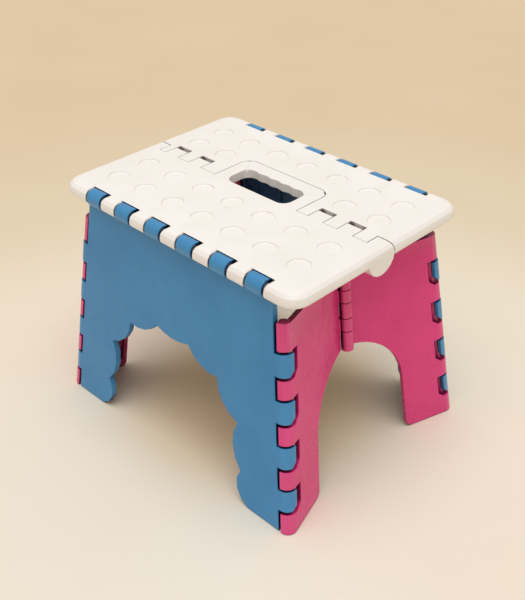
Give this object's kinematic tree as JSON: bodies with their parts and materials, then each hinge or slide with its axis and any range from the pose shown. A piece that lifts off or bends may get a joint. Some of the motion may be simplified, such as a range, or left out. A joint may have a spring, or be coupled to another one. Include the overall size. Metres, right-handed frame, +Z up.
{
  "type": "folding step stool",
  "caption": "Low folding step stool: a split seat with a finger slot, scalloped side panels and end walls that fold inwards, all joined by moulded hook hinges.",
  "frame": {"origin": "centre of the footprint, on the floor", "axes": "+Z up; +X along the seat's fold line, towards the right end; -Y is the near side, whose seat half carries the handle tongue"},
  "size_m": [0.2924, 0.2284, 0.22],
  "materials": {
    "seat_plastic": "satin",
    "side_plastic": "satin",
    "end_plastic": "satin",
    "pin_steel": "satin"
  },
  "bodies": {
    "side_near": {"side_panel_near": "side_plastic"},
    "seat_near": {"seat_half_with_handle": "seat_plastic", "fold_pin_right": "pin_steel", "fold_pin_left": "pin_steel"},
    "seat_far": {"seat_half_far": "seat_plastic"},
    "side_far": {"side_panel_far": "side_plastic"},
    "end_right_near": {"end_right_near_half": "end_plastic", "end_pin_right": "pin_steel"},
    "end_right_far": {"end_right_far_half": "end_plastic"},
    "end_left_near": {"end_left_near_half": "end_plastic", "end_pin_left": "pin_steel"},
    "end_left_far": {"end_left_far_half": "end_plastic"}
  },
  "joints": [
    {"name": "seat_near_hinge", "type": "hinge", "parent": "side_near", "child": "seat_near", "pos_m": [0, -0.093, 0.212], "axis": [1, 0, 0], "range_deg": [0, 84.91]},
    {"name": "seat_fold_hinge", "type": "hinge", "parent": "seat_near", "child": "seat_far", "pos_m": [0, 0, 0.19809], "axis": [-1, 0, 0], "range_deg": [0, 180.01]},
    {"name": "side_far_hinge", "type": "hinge", "parent": "seat_far", "child": "side_far", "pos_m": [0, 0.093, 0.212], "axis": [1, 0, 0], "range_deg": [0, 84.92]},
    {"name": "end_right_corner_hinge", "type": "hinge", "parent": "side_near", "child": "end_right_near", "pos_m": [0.12431, -0.09559, 0.11], "axis": [-0.124, 0.0954, 0.9877], "range_deg": [0, 75.3]},
    {"name": "end_right_fold_hinge", "type": "hinge", "parent": "end_right_near", "child": "end_right_far", "pos_m": [0.10197, 0, 0.14543], "axis": [0.1062, 0, -0.9943], "range_deg": [0, 149.38]},
    {"name": "end_left_corner_hinge", "type": "hinge", "parent": "side_near", "child": "end_left_near", "pos_m": [-0.12431, -0.09559, 0.11], "axis": [-0.124, -0.0954, -0.9877], "range_deg": [0, 75.3]},
    {"name": "end_left_fold_hinge", "type": "hinge", "parent": "end_left_near", "child": "end_left_far", "pos_m": [-0.10197, 0, 0.14543], "axis": [0.1062, 0, 0.9943], "range_deg": [0, 149.38]}
  ],
  "couplings": [
    {"joint": "seat_fold_hinge", "follows": "seat_near_hinge", "ratio": 2.1198},
    {"joint": "side_far_hinge", "follows": "seat_near_hinge", "ratio": 1},
    {"joint": "end_right_corner_hinge", "follows": "seat_near_hinge", "ratio": 0.88666},
    {"joint": "end_right_fold_hinge", "follows": "seat_near_hinge", "ratio": 1.7591},
    {"joint": "end_left_corner_hinge", "follows": "seat_near_hinge", "ratio": 0.88666},
    {"joint": "end_left_fold_hinge", "follows": "seat_near_hinge", "ratio": 1.7591}
  ]
}
